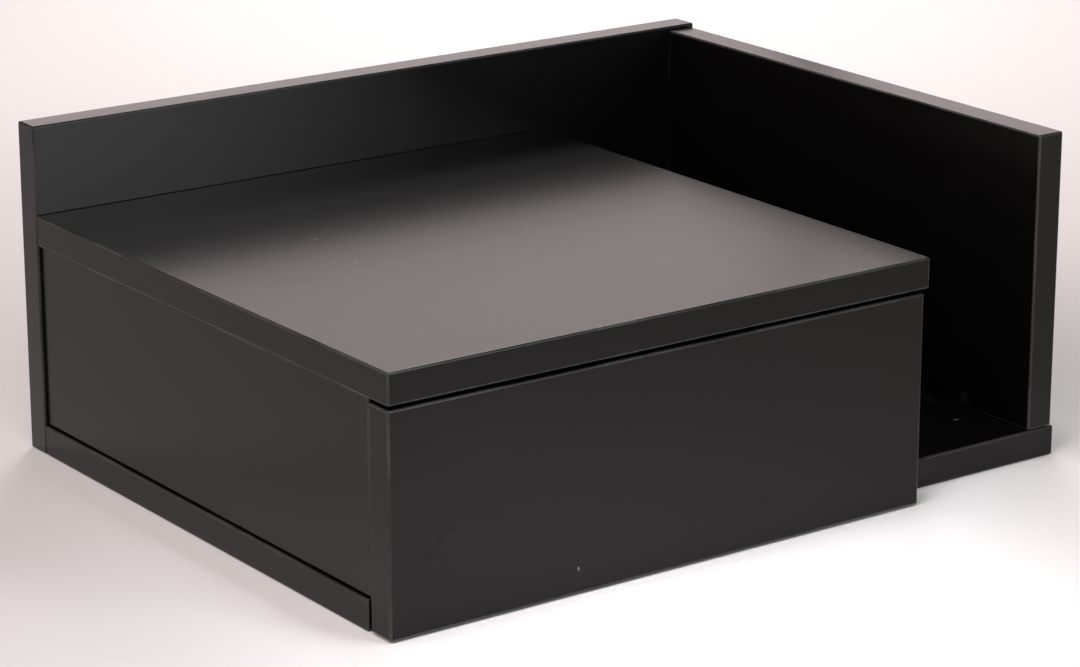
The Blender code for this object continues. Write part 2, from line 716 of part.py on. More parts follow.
def push_latch():
    """A sprung plunger in a sleeve, and the plate on the drawer's front that it pushes."""
    x = DIVIDER_WALL + BOARD / 2
    towards_front = (0, -1, 0)
    sleeve_top = (x, EDGE_PLANE + GAP, LATCH_HEIGHT)
    bore = LATCH_RADIUS - LATCH_WALL
    inner_end = -LATCH_LENGTH + LATCH_WALL
    sleeve = [
        (0, inner_end),
        (bore, inner_end),
        (bore, 0),
        (LATCH_COLLAR_RADIUS, 0),
        (LATCH_COLLAR_RADIUS, -LATCH_COLLAR),
        (LATCH_RADIUS, -LATCH_COLLAR),
        (LATCH_RADIUS, -LATCH_LENGTH),
        (0, -LATCH_LENGTH),
    ]
    sleeve_place = facing(sleeve_top, towards_front)
    add_part("latch_sleeve", turned_mesh("latch_sleeve", sleeve, 2 * SIDES), PLASTIC, sleeve_place)
    socket = [
        (0, CUTTER_REACH),
        (LATCH_COLLAR_RADIUS + GAP, CUTTER_REACH),
        (LATCH_COLLAR_RADIUS + GAP, -LATCH_COLLAR - GAP),
        (LATCH_RADIUS + GAP, -LATCH_COLLAR - GAP),
        (LATCH_RADIUS + GAP, -LATCH_LENGTH - GAP),
        (0, -LATCH_LENGTH - GAP),
    ]
    hole = as_cutter(turned_mesh("latch_hole", socket, 2 * SIDES), sleeve_place)
    HOLES.setdefault("divider_panel", []).append(hole)

    strike_face = FRONT + BOARD + GAP + STRIKE_SHEET
    plunger_front = strike_face + GAP
    slim = bore - GAP
    plunger = [
        (0, 0),
        (PLUNGER_TIP_RADIUS, 0),
        (PLUNGER_TIP_RADIUS, -PLUNGER_TIP),
        (slim, -PLUNGER_TIP - GAP),
        (slim, -PLUNGER_LENGTH),
        (0, -PLUNGER_LENGTH),
    ]
    tip = facing((x, plunger_front, LATCH_HEIGHT), towards_front)
    add_part("latch_plunger", turned_mesh("latch_plunger", plunger, 2 * SIDES), PLASTIC, tip)

    disc = [(0, 0), (STRIKE_RADIUS, 0), (STRIKE_RADIUS, -STRIKE_SHEET), (0, -STRIKE_SHEET)]
    strike = (x, strike_face, LATCH_HEIGHT)
    add_part("strike_plate", turned_mesh("strike_plate", disc, 2 * SIDES), ZINC, facing(strike, (0, 1, 0)))

    spring_front = plunger_front + PLUNGER_LENGTH + GAP
    spring_rear = sleeve_top[1] - inner_end - GAP
    coil_spring(x, spring_front + SPRING_WIRE_RADIUS, spring_rear - SPRING_WIRE_RADIUS, bore - 2 * GAP)


def coil_spring(x, front, rear, outer_radius):
    """The latch's spring, as a wire along a helix about the plunger's line."""
    radius = outer_radius - SPRING_WIRE_RADIUS
    count = SPRING_TURNS * SPRING_POINTS_PER_TURN
    curve = bpy.data.curves.new("latch_spring", "CURVE")
    curve.dimensions = "3D"
    curve.bevel_depth = SPRING_WIRE_RADIUS
    curve.bevel_resolution = 2
    curve.use_fill_caps = True
    wire = curve.splines.new("POLY")
    wire.points.add(count)
    for i, point in enumerate(wire.points):
        angle = 2 * math.pi * i / SPRING_POINTS_PER_TURN
        y = front + (rear - front) * i / count
        point.co = (x + radius * math.cos(angle), y, LATCH_HEIGHT + radius * math.sin(angle), 1)
    curve.materials.append(STEEL)
    obj = bpy.data.objects.new("latch_spring", curve)
    PARTS.objects.link(obj)


# ---------------------------------------------------------------- assembly


def main():
    carcass_boards()
    carcass_screws()
    shelf_cams()
    hangers()
    drawer_front()
    drawer_box()
    front_screws()
    runners()
    push_latch()
    drill_boards()


main()
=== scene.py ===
"""The looks of the desk hutch: satin black lacquer on board, and the steel, zinc and plastic inside it.

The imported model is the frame. Each lacquered board, fitting and fastener is made again here at its CAD
node's place, with finely rounded edges, round holes, threads and recesses. The drawer box stays as it is, and
has its finishes here. Metres, +Z up.
"""

import json
import math

import bmesh
import bpy
from mathutils import Matrix, Vector


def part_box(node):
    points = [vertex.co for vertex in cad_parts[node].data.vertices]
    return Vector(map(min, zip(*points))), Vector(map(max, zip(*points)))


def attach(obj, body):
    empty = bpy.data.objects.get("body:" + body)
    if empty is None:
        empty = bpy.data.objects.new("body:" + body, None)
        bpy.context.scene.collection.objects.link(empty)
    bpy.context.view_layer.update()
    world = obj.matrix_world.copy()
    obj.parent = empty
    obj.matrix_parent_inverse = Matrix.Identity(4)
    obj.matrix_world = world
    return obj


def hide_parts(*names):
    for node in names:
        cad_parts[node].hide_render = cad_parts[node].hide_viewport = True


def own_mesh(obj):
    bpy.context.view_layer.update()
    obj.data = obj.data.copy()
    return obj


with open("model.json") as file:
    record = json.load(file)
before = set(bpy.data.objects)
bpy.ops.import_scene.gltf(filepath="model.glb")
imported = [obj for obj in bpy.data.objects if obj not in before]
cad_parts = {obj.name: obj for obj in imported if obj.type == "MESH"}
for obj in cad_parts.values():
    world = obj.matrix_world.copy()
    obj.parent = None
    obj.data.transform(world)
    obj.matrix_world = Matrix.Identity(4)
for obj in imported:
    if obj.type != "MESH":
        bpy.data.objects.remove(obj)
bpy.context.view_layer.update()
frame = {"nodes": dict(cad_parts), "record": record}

GAP = 0.0003  # between pieces that touch
REACH = 0.002  # how far a cutter runs past the face that it opens
ROUND_MARGIN = 0.00005  # a round end's radius stays this much under half of the width
SMOOTH_ANGLE = math.radians(30)
WELD_REACH = 0.000001  # points nearer than this are one point
BEVEL_ANGLE = 60  # an edge that turns by more than this, in degrees, is rounded
FINE_ROUND = 0.0002
EDGE_ROUND = 0.0003

# Camera: at the front left, a little above the shelf
AZIMUTH, ELEVATION = -35.811, 17.124
DISTANCE = 1.7317
TARGET = Vector((-0.01365, -0.010, 0.0672))
LENS = 120.3

# Lacquered boards
MARK_DEPTH = 0.004  # so that a mark on one face doesn't show on the other
ARRIS = 0.001
ARRIS_SEGMENTS = 4
FLAT_FACE = 0.999  # a face whose normal lies this near to an axis isn't part of a rounded edge

# Fasteners. A head's sizes come from its CAD node. shank is the radius over the thread, core is the share of
# it under the thread, lead is the plain length below the head, and cross is the recess's length and depth as
# shares of the head's radius.
PANEL_SCREW = {
    "shank": 0.0025,
    "core": 0.68,
    "lead": 0.002,
    "pitch": 0.0026,
    "rim": 0.0008,
    "socket": 0.0022,
}
SMALL_SCREW = {
    "shank": 0.0015,
    "core": 0.68,
    "lead": 0.002,
    "pitch": 0.0011,
    "rim": 0.0003,
    "cross": (1.1, 0.4),
    "slot": 0.0005,
}
FRONT_SCREW = {
    "shank": 0.0019,
    "core": 0.7,
    "lead": 0.0015,
    "pitch": 0.0014,
    "rise": 0.0022,
    "cross": (1.0, 0.32),
    "slot": 0.0008,
}
HEAD_ROUND = 0.00025
HEAD_NECK = 0.001  # length of the plain neck that is rounded into a countersunk head
DOME_TOP = 0.35  # the nearly flat top of a domed head, as a share of its radius
DOME_FALL = 0.00005  # how far the top drops to its edge
DOME = ((0.68, 0.16), (0.9, 0.45), (1.0, 0.75))  # shares of the head's radius and rise, outside the top
SOCKET_POINT = 1.3  # depth of a hexagon socket's point, as a share of its radius
SCREW_POINT = 0.0025  # length of the taper at a screw's end
SCREW_TIP = 0.0006
THREAD_STEPS = 6  # rings along one turn of a thread
SHANK_SIDES = 24
HEAD_SIDES = 32
ROUND_SIDES = 48
FINE_SIDES = 64

# Cams and their bolts
CAM_FACE_RIM = 0.0011
CAM_SLOT = 0.0013
CAM_RECESS_SHARE = 1 / 6  # of the cam's length
CAM_BOLT = {
    "thread": 0.0025,
    "core": 0.7,
    "depth": 0.010,
    "pitch": 0.0014,
    "shank": 0.003,
    "neck": 0.0022,
    "neck_length": 0.003,
    "shoulder": 0.0008,
    "head": 0.002,
}

# Keyhole hangers
KEYHOLE_RADIUS = 0.005
KEYHOLE_SLOT_RADIUS = 0.0025
KEYHOLE_SLOT_LENGTH = 0.010
HEAD_POCKET_DEPTH = 0.010
HEAD_POCKET_MARGIN = 0.001

# Runners
RUNNER_SPACE = 0.0127
RUNNER_SHEET = 0.001
CAGE_SHEET = 0.0005
BALL_RADIUS = 0.0016
BALL_CLEARANCE = 0.0002
BALLS_PER_ROW = 8
SEAT_MARGIN = 0.00008
SHEET_ROUND = 0.2  # a sheet edge's rounding, as a share of the sheet
# The arcs of the members round their balls: start and end in degrees, and steps
ARCS = {"cabinet": (25, 180, 24), "middle": (20, 130, 16), "under": (310, 262, 8), "lip": (245, 325, 14)}
NESTING_LEAN = math.radians(-50)  # from the outer balls down to the inner balls
ELBOW_RADIUS = 0.0009
ELBOW_DROP = 0.004
CAGE_GRIP = 0.9  # how far a cage reaches past its balls' middles, as a share of their radius
CAGE_BEND = 0.0005
CAGE_DROP = 0.003
ACCESS_HOLE_RADIUS = 0.004
ACCESS_INSETS = (0.035, 0.195)
SLOT_RADIUS = 0.0023
SLOT_LENGTH = 0.006
CABINET_SLOT_INSETS = (0.075, 0.225)
DRAWER_SLOT_INSETS = (0.070, 0.150, 0.225)

# Push latch
LATCH = {"bore": 0.0034, "body": 0.005, "collar": 0.0012, "wall": 0.0016}
PLUNGER_TIP = 0.004
PLUNGER_TIP_RADIUS = 0.0028
PLUNGER_GROOVE = {"start": 0.0014, "end": 0.0024, "depth": 0.0003, "slope": 0.0002}
PLUNGER_ROUND = 0.00035
STRIKE_DISH = {"depth": 0.0002, "floor": 0.45, "rim": 0.55}  # floor and rim are shares of the plate's radius
SPRING_WIRE = 0.0003
SPRING_TURNS = 12
SPRING_POINTS = 28  # along one turn


# ---------------------------------------------------------------- node helpers


class Nodes:
    """A short way to write a material's nodes."""

    def __init__(self, name):
        self.material = bpy.data.materials.new(name)
        self.material.use_nodes = True
        self.tree = self.material.node_tree
        self.shader = self.tree.nodes["Principled BSDF"]
        self.where = self.add("ShaderNodeTexCoord").outputs["Object"]

    def add(self, kind, values=None, **settings):
        node = self.tree.nodes.new(kind)
        for key, value in settings.items():
            setattr(node, key, value)
        for key, value in (values or {}).items():
            self.plug(value, node.inputs[key])
        return node

    def plug(self, value, socket):
        if isinstance(value, bpy.types.NodeSocket):
            self.tree.links.new(value, socket)
        else:
            socket.default_value = value

    def math(self, operation, *values):
        return self.add("ShaderNodeMath", dict(enumerate(values)), operation=operation).outputs[0]

    def times(self, first, second):
        return self.math("MULTIPLY", first, second)

    def plus(self, first, second):
        return self.math("ADD", first, second)

    def stretched(self, scale):
        """The place on the piece, in metres, stretched along each axis."""
        return self.add("ShaderNodeMapping", {"Vector": self.where, "Scale": scale}).outputs[0]

    def noise(self, scale, detail=3.0, roughness=0.5, where=None):
        values = {"Vector": where or self.where, "Scale": scale, "Detail": detail, "Roughness": roughness}
        return self.add("ShaderNodeTexNoise", values).outputs["Fac"]

    def spread(self, value, low, high, to_low=0.0, to_high=1.0):
        """value, taken from one range to another and held inside it."""
        values = {"Value": value, "From Min": low, "From Max": high, "To Min": to_low, "To Max": to_high}
        return self.add("ShaderNodeMapRange", values, interpolation_type="SMOOTHSTEP").outputs[0]

    def mix(self, share, first, second):
        node = self.add("ShaderNodeMix", data_type="RGBA")
        for socket, value in zip((node.inputs[0], node.inputs[6], node.inputs[7]), (share, first, second)):
            self.plug(value, socket)
        return node.outputs[2]

    def facing_up(self):
        """1 where the surface faces up, and 0 elsewhere."""
        normal = self.add("ShaderNodeNewGeometry").outputs["Normal"]
        return self.spread(self.add("ShaderNodeSeparateXYZ", {0: normal}).outputs[2], 0.85, 0.99)

    def specks(self):
        """1 in tiny scattered specks and short fibres of dust, and 0 elsewhere. cell is in millimetres."""
        spots = 0.0
        for cell, stretch in ((9.0, (1.0, 1.0, 1.0)), (14.0, (1.0, 0.35, 1.0)), (16.0, (0.3, 0.9, 1.0))):
            values = {"Vector": self.stretched(stretch), "Scale": 1000.0 / cell}
            cells = self.add("ShaderNodeTexVoronoi", values)
            near = self.spread(cells.outputs["Distance"], 0.25 / cell, 0.45 / cell, 1.0, 0.0)
            chance = self.add("ShaderNodeSeparateColor", {0: cells.outputs["Color"]}).outputs[0]
            spots = self.math("MAXIMUM", spots, self.times(near, self.spread(chance, 0.35, 0.9)))
        return spots

    def mark(self, middle, size, lean=0.0, ragged=0.5, normal=1):
        """1 in an oval spot on a face whose normal is that axis, fading out raggedly to 0."""
        moved = self.add("ShaderNodeVectorMath", {0: self.where, 1: middle}, operation="SUBTRACT").outputs[0]
        axis = tuple(float(i == normal) for i in range(3))
        turned = {"Vector": moved, "Axis": axis, "Angle": math.radians(lean)}
        spun = self.add("ShaderNodeVectorRotate", turned).outputs[0]
        scale = [1 / size[0], 1 / size[1]]
        scale.insert(normal, 1 / MARK_DEPTH)
        flat = self.add("ShaderNodeVectorMath", {0: spun, 1: scale}, operation="MULTIPLY").outputs[0]
        away = self.add("ShaderNodeVectorMath", {0: flat}, operation="LENGTH").outputs["Value"]
        rough_edge = self.plus(away, self.times(self.plus(self.noise(260.0, 4.0), -0.5), 2 * ragged))
        return self.spread(rough_edge, 0.35, 1.0, 1.0, 0.0)

    def bump(self, height, strength, distance):
        values = {"Height": height, "Strength": strength, "Distance": distance}
        return self.add("ShaderNodeBump", values).outputs[0]

    def finish(self, **sockets):
        for key, value in sockets.items():
            self.plug(value, self.shader.inputs[key.replace("_", " ")])
        return self.material


def grey(value, warmth=0.03):
    return (value, value * (1 - warmth), value * (1 - warmth), 1)


# ---------------------------------------------------------------- materials


def lacquer(name, depth, dark_marks=(), pale_marks=(), normal=1, gloss=1.335):
    """Satin lacquer: nearly black, with a fine pebble, faint smudges, and dust on what faces up.

    depth is how much light comes back from inside the paint, and gloss is its IOR. The marks lie on the face
    whose normal is that axis.
    """
    n = Nodes(name)
    smudge = n.spread(n.noise(9.0, 4.0, 0.62), 0.56, 0.74)
    wiped = n.spread(n.noise(26.0, 3.0, 0.6, n.stretched((0.35, 1.0, 1.0))), 0.60, 0.78)
    dust = n.times(n.specks(), n.facing_up())
    colour = n.mix(smudge, grey(depth), grey(depth * 1.35))
    colour = n.mix(wiped, colour, grey(depth * 1.2))
    rough = n.plus(n.spread(smudge, 0.0, 1.0, 0.215, 0.25), n.times(wiped, 0.015))
    for middle, size, lean in dark_marks:
        mark = n.mark(middle, size, lean, normal=normal)
        rough = n.plus(rough, n.times(mark, 0.16))
        colour = n.mix(mark, colour, grey(depth * 0.3))
    for middle, size, lean, tone in pale_marks:
        colour = n.mix(n.mark(middle, size, lean, 0.2, normal), colour, grey(tone, 0.0))
    colour = n.mix(dust, colour, grey(0.10))
    rough = n.plus(rough, n.times(dust, 0.3))
    pebble = n.plus(n.times(n.noise(900.0, 2.0), 0.25), n.noise(60.0, 2.0))
    height = n.plus(pebble, n.times(dust, 1.5))
    return n.finish(
        Base_Color=colour,
        Roughness=rough,
        Normal=n.bump(height, 0.05, 0.0006),
        IOR=gloss,
        Specular_Tint=(1.0, 0.965, 0.975, 1.0),
    )


def painted_highlight_edge():
    """A painted highlight along the rounded edges: a little paler and duller than the faces, more in some
    stretches.
    """
    n = Nodes("black_lacquer_edge")
    grain = n.noise(900.0, 2.0)
    patches = n.spread(n.noise(16.0, 3.0), 0.35, 0.65)
    painted_highlight_share = n.plus(patches, n.times(n.plus(n.noise(150.0, 2.0), -0.5), 0.4))
    # the paler colour on the edges is a painted highlight
    colour = n.mix(painted_highlight_share, grey(0.010), grey(0.034))
    rough = n.spread(painted_highlight_share, 0.0, 1.0, 0.24, 0.30)
    return n.finish(Base_Color=colour, Roughness=rough, Normal=n.bump(grain, 0.05, 0.0003), IOR=1.36)


def rolled_metal(name, colour, roughness, grain):
    """Plated or ground steel: cloudy, with a fine grain along grain's short axis, and dull where handled."""
    n = Nodes(name)
    cloud = n.noise(60.0, 4.0, 0.6)
    streaks = n.noise(700.0, 3.0, where=n.stretched(grain))
    spots = n.spread(n.noise(420.0, 2.0), 0.66, 0.74)
    tone = n.mix(cloud, tuple(0.80 * c for c in colour) + (1,), (*colour, 1))
    tone = n.mix(n.times(spots, 0.35), tone, tuple(0.55 * c for c in colour) + (1,))
    rough = n.spread(streaks, 0.3, 0.7, roughness - 0.06, roughness + 0.06)
    rough = n.plus(rough, n.plus(n.times(cloud, 0.08), n.times(spots, 0.12)))
    return n.finish(Base_Color=tone, Roughness=rough, Metallic=1.0, Normal=n.bump(streaks, 0.12, 0.0001))


def drawer_foil():
    """Black foil with a faint wood pore along the board."""
    n = Nodes("drawer_foil")
    pores = n.noise(30.0, 5.0, 0.65, n.stretched((30, 2.5, 30)))
    cloud = n.noise(12.0, 2.0)
    colour = n.mix(pores, grey(0.018), grey(0.030))
    colour = n.mix(n.times(cloud, 0.4), colour, grey(0.036))
    rough = n.plus(n.spread(pores, 0.3, 0.7, 0.44, 0.56), n.times(cloud, 0.05))
    return n.finish(Base_Color=colour, Roughness=rough, Normal=n.bump(pores, 0.25, 0.0003))


def hardboard():
    """Painted hardboard, with the felted look of its fibres."""
    n = Nodes("hardboard")
    fibre = n.noise(420.0, 5.0, 0.7, n.stretched((1.0, 0.55, 1.0)))
    flecks = n.spread(n.noise(900.0, 2.0), 0.68, 0.76)
    colour = n.mix(fibre, grey(0.020), grey(0.038))
    colour = n.mix(n.times(flecks, 0.5), colour, grey(0.07))
    return n.finish(
        Base_Color=colour,
        Roughness=n.spread(fibre, 0.3, 0.7, 0.5, 0.68),
        Normal=n.bump(fibre, 0.3, 0.0002),
    )


def grey_plastic():
    """Moulded plastic with a fine spark-eroded grain."""
    n = Nodes("grey_plastic")
    grain = n.noise(2500.0, 2.0)
    cloud = n.noise(40.0, 3.0)
    flow = n.noise(180.0, 3.0, where=n.stretched((1.0, 1.0, 0.2)))
    colour = n.mix(cloud, (0.18, 0.18, 0.19, 1), (0.23, 0.23, 0.235, 1))
    rough = n.plus(n.spread(cloud, 0.3, 0.7, 0.38, 0.5), n.times(flow, 0.06))
    return n.finish(Base_Color=colour, Roughness=rough, Normal=n.bump(grain, 0.2, 0.00005))


def pale_floor():
    n = Nodes("pale_floor")
    colour = n.mix(n.noise(1.5, 3.0), grey(0.885, 0.005), grey(0.905, 0.005))
    return n.finish(Base_Color=colour, Roughness=n.spread(n.noise(8.0), 0.3, 0.7, 0.8, 0.9))


MATERIALS = {
    "black_lacquer": lacquer("black_lacquer", 0.0022),
    "drawer_foil": drawer_foil(),
    "hardboard": hardboard(),
    "zinc_plate": rolled_metal("zinc_plate", (0.60, 0.61, 0.63), 0.34, (1, 0.05, 1)),
    "bearing_steel": rolled_metal("bearing_steel", (0.68, 0.68, 0.69), 0.2, (1, 0.1, 1)),
    "grey_plastic": grey_plastic(),
}
SLOT_OF = {row["node"]: row["material_slot"] for row in frame["record"]["subparts"]}
BODY_OF = {node: body for body, nodes in frame["record"]["behaviour"]["bodies"].items() for node in nodes}


def drawer_front_lacquer():
    """The front is handled: a long wipe and two smears near its lower left, and small pale specks."""
    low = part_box("drawer_front")[0]

    def at(along, up):
        return (low.x + along, low.y, low.z + up)

    dark = [
        (at(0.0235, 0.0385), (0.0165, 0.0034), 38.0),
        (at(0.053, 0.047), (0.0085, 0.0032), -25.0),
        (at(0.030, 0.058), (0.0050, 0.0020), 15.0),
        (at(0.202, 0.020), (0.0080, 0.0035), 10.0),
    ]
    pale = [
        (at(0.099, 0.0115), (0.0006, 0.0013), 10.0, 0.20),
        (at(0.226, 0.071), (0.0016, 0.0050), 35.0, 0.006),
        (at(0.214, 0.085), (0.0030, 0.0012), 0.0, 0.004),
    ]
    # depth 0.0030 is lighter than the plain lacquer's 0.0022, to make the front look brighter: painted light
    return lacquer("black_lacquer_front", 0.0030, dark, pale, gloss=1.325)


def right_side_lacquer():
    """A faint pale round spot low on the niche's side of the board: a painted highlight."""
    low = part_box("right_side_panel")[0]
    # a pale round spot painted on the face: a painted highlight
    round_painted_highlight = ((low.x, low.y + 0.046, low.z + 0.0048), (0.0050, 0.0046), 0.0, 0.014)
    # depth 0.0024 is a little lighter than the plain lacquer's 0.0022: painted light
    return lacquer("black_lacquer_side", 0.0024, (), [round_painted_highlight], normal=0)


def bottom_lacquer():
    """A scuff and a pale fleck on the niche's floor."""
    low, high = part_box("bottom_panel")
    fleck = ((high.x - 0.033, low.y + 0.034, high.z), (0.0022, 0.0008), 10.0, 0.16)
    scuff = ((high.x - 0.022, low.y + 0.064, high.z), (0.0012, 0.0110), 6.0, 0.010)
    # depth 0.0024 is a little lighter than the plain lacquer's 0.0022: painted light
    return lacquer("black_lacquer_bottom", 0.0024, (), [fleck, scuff], normal=2)


# Each board's copy of the lacquer is lighter or darker than the plain one to match how bright that board
# looks: painted light and shade. The edges' material is a painted highlight.
LACQUERS_AND_PAINTED_LIGHT = {
    "edges": painted_highlight_edge(),
    # depth 0.0050, lighter than the plain lacquer: painted light
    "back_panel": lacquer("black_lacquer_back", 0.0050, gloss=1.40),
    "bottom_panel": bottom_lacquer(),
    "drawer_front": drawer_front_lacquer(),
    "right_side_panel": right_side_lacquer(),
    # depth 0.0012, darker than the plain lacquer: painted shade
    "top_panel": lacquer("black_lacquer_shelf", 0.0012),
}


# ---------------------------------------------------------------- shapes


def add_object(name, mesh, matrix=None):
    obj = bpy.data.objects.new(name, mesh)
    bpy.context.scene.collection.objects.link(obj)
    obj.matrix_world = matrix or Matrix.Identity(4)
    return obj


def mesh_of(name, shape):
    mesh = bpy.data.meshes.new(name)
    shape.to_mesh(mesh)
    shape.free()
    return mesh


def box_mesh(name, low, high):
    shape = bmesh.new()
    bmesh.ops.create_cube(shape, size=1.0)
    low, high = Vector(low), Vector(high)
    place = Matrix.Translation((low + high) / 2) @ Matrix.Diagonal((*(high - low), 1.0))
    bmesh.ops.transform(shape, matrix=place, verts=shape.verts)
    return mesh_of(name, shape)


def rounded(points, radius, steps=3):
    """The line with its inner corners rounded."""
    line = [tuple(points[0])]
    for before, corner, after in zip(points, points[1:], points[2:]):
        corner = Vector(corner)
        back, on = Vector(before) - corner, Vector(after) - corner
        reach = min(radius, back.length * 0.49, on.length * 0.49)
        start, end = corner + back.normalized() * reach, corner + on.normalized() * reach
        for i in range(steps + 1):
            t = i / steps
            line.append(tuple(start * (1 - t) ** 2 + corner * 2 * t * (1 - t) + end * t ** 2))
    line.append(tuple(points[-1]))
    return line


def turned(name, profile, sides=ROUND_SIDES, thread=None):
    """The solid that a line of (radius, height) points makes about Z.

    The line starts and ends on the axis, and runs down its outer side. thread(angle, height) is added to the
    radius.
    """
    shape = bmesh.new()
    rings = []
    for radius, height in profile:
        if radius == 0:
            rings.append([shape.verts.new((0, 0, height))])
            continue
        ring = []
        for i in range(sides):
            angle = 2 * math.pi * i / sides
            out = radius + (thread(angle, height) if thread else 0)
            ring.append(shape.verts.new((out * math.cos(angle), out * math.sin(angle), height)))
        rings.append(ring)
    for upper, lower in zip(rings, rings[1:]):
        for i in range(sides):
            j = (i + 1) % sides
            around_face = ((upper, i), (lower, i), (lower, j), (upper, j))
            corners = list(dict.fromkeys(ring[k % len(ring)] for ring, k in around_face))
            if len(corners) > 2:
                shape.faces.new(corners)
    mesh = mesh_of(name, shape)
    smooth(mesh)
    return mesh


def smooth(mesh, angle=SMOOTH_ANGLE):
    mesh.shade_smooth()
    mesh.set_sharp_from_angle(angle=angle)


def slab_mesh(name, width, length, thickness, corner, steps=8):
    """A plate about the origin, in X and Z, with round corners. It is thickness deep along -Y."""
    shape = bmesh.new()
    corners = ((1, 1, 0), (-1, 1, 90), (-1, -1, 180), (1, -1, 270))
    outline = []
    for x, z, start in corners:
        for i in range(steps + 1):
            angle = math.radians(start + 90 * i / steps)
            across = x * (width / 2 - corner) + corner * math.cos(angle)
            along = z * (length / 2 - corner) + corner * math.sin(angle)
            outline.append(shape.verts.new((across, 0, along)))
    face = shape.faces.new(reversed(outline))
    made = bmesh.ops.extrude_face_region(shape, geom=[face])
    moved = [item for item in made["geom"] if isinstance(item, bmesh.types.BMVert)]
    bmesh.ops.translate(shape, verts=moved, vec=(0, -thickness, 0))
    bmesh.ops.recalc_face_normals(shape, faces=shape.faces)
    return mesh_of(name, shape)


def evaluated_mesh(obj):
    bpy.context.view_layer.update()
    graph = bpy.context.evaluated_depsgraph_get()
    return bpy.data.meshes.new_from_object(obj.evaluated_get(graph))


def weld(mesh):
    """Joins the points that lie on one another."""
    shape = bmesh.new()
    shape.from_mesh(mesh)
    bmesh.ops.remove_doubles(shape, verts=shape.verts, dist=WELD_REACH)
    shape.to_mesh(mesh)
    shape.free()


def add_bevel(obj, width, segments, angle=None):
    bevel = obj.modifiers.new("rounding", "BEVEL")
    bevel.width = width
    bevel.segments = segments
    bevel.limit_method = "ANGLE" if angle else "NONE"
    if angle:
        bevel.angle_limit = math.radians(angle)


def bake(obj, cutters=()):
    """Applies obj's modifiers, and cuts the cutters from it. The cutters are removed."""
    for cutter in cutters:
        cut = obj.modifiers.new("cut", "BOOLEAN")
        cut.object = cutter
        cut.solver = "EXACT"
    obj.data = evaluated_mesh(obj)
    obj.modifiers.clear()
    for cutter in cutters:
        bpy.data.objects.remove(cutter)
    weld(obj.data)
    smooth(obj.data)
    return obj


def cut_mesh(mesh, cutters):
    """The mesh with the cutters cut from it."""
    obj = bake(add_object(mesh.name, mesh), cutters)
    mesh = obj.data
    bpy.data.objects.remove(obj)
    return mesh


def facing(place, direction):
    """The matrix that puts a turned piece's top at place, with its +Z along direction."""
    return Matrix.Translation(place) @ Vector(direction).to_track_quat("Z", "Y").to_matrix().to_4x4()


def top_of(node, direction):
    """The middle of the side of a node's box that looks along direction, and the box's length that way."""
    low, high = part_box(node)
    way = Vector(direction)
    half = (high - low) / 2
    return (low + high) / 2 + Vector(w * h for w, h in zip(way, half)), 2 * abs(way.dot(half))


def radius_of(node, direction):
    """Half of a node's width across direction."""
    low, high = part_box(node)
    return max(h - l for h, l, w in zip(high, low, direction) if w == 0) / 2


def stand_for(node, obj):
    """obj takes the place of a CAD node: its body and, unless obj already has a material, its slot's
    material.
    """
    if not obj.data.materials:
        obj.data.materials.append(MATERIALS[SLOT_OF[node]])
    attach(obj, BODY_OF[node])
    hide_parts(node)
    return obj


def with_flat_faces(obj):
    normals = obj.modifiers.new("flat faces", "WEIGHTED_NORMAL")
    normals.keep_sharp = True
    return obj


# ---------------------------------------------------------------- fasteners


def thread_of(core, crest, pitch, top, bottom):
    """A thread's height above its core, between two heights."""

    def ridge(angle, height):
        if not bottom < height < top:
            return 0.0
        turn = (height / pitch - angle / (2 * math.pi)) % 1.0
        fade = min(1.0, (top - height) / pitch, (height - bottom) / pitch)
        return (crest - core) * fade * max(0.0, 1.0 - 2.2 * abs(turn - 0.5))

    return ridge


def threaded_shank(core, start, length, pitch):
    """The rings of a threaded shank that ends in a point, below a head."""
    count = round((length - SCREW_POINT - start) / pitch * THREAD_STEPS)
    rings = [(core, -start - (length - SCREW_POINT - start) * i / count) for i in range(count + 1)]
    return [*rings, (SCREW_TIP, -length + SCREW_TIP / 2), (SCREW_TIP / 2, -length), (0, -length)]


def countersunk_screw(name, head, length, sizes, recess):
    """A screw with a 45 degree head. Its top is at the origin, and it runs down -Z."""
    crest, rim = sizes["shank"], sizes["rim"]
    core = crest * sizes["core"]
    neck = head - crest + rim
    line = [(0, 0), (head, 0), (head, -rim), (crest, -neck), (crest, -neck - HEAD_NECK)]
    head_line = rounded(line, HEAD_ROUND)
    start = neck + sizes["lead"]
    profile = [*head_line, *threaded_shank(core, start, length, sizes["pitch"])]
    thread = thread_of(core, crest, sizes["pitch"], -start, -length + SCREW_POINT / 2)
    return cut_mesh(turned(name, profile, HEAD_SIDES, thread), recess)


def domed_screw(name, head, length, sizes, recess):
    """A screw with a wide domed head. Its top is at the origin."""
    rise, crest = sizes["rise"], sizes["shank"]
    core = crest * sizes["core"]
    dome = [(head * out, -rise * fall) for out, fall in DOME]
    line = [(0, 0), (head * DOME_TOP, -DOME_FALL), *dome, (head, -rise + GAP), (core, -rise + GAP)]
    start = rise + sizes["lead"]
    profile = [*rounded(line, EDGE_ROUND), *threaded_shank(core, start, length, sizes["pitch"])]
    thread = thread_of(core, crest, sizes["pitch"], -start, -length + SCREW_POINT / 2)
    return cut_mesh(turned(name, profile, HEAD_SIDES, thread), recess)


def cross_cutters(length, depth, width):
    half, narrow = length / 2, width / 2
    point = [(0, REACH), (width, REACH), (width, -depth), (0, -depth - width)]
    return [
        add_object("slot", box_mesh("slot", (-half, -narrow, -depth), (half, narrow, REACH))),
        add_object("slot", box_mesh("slot", (-narrow, -half, -depth), (narrow, half, REACH))),
        add_object("slot", turned("slot", point, 16)),
    ]


def cross_recess(head, sizes):
    length, depth = sizes["cross"]
    return cross_cutters(head * length, head * depth, sizes["slot"])


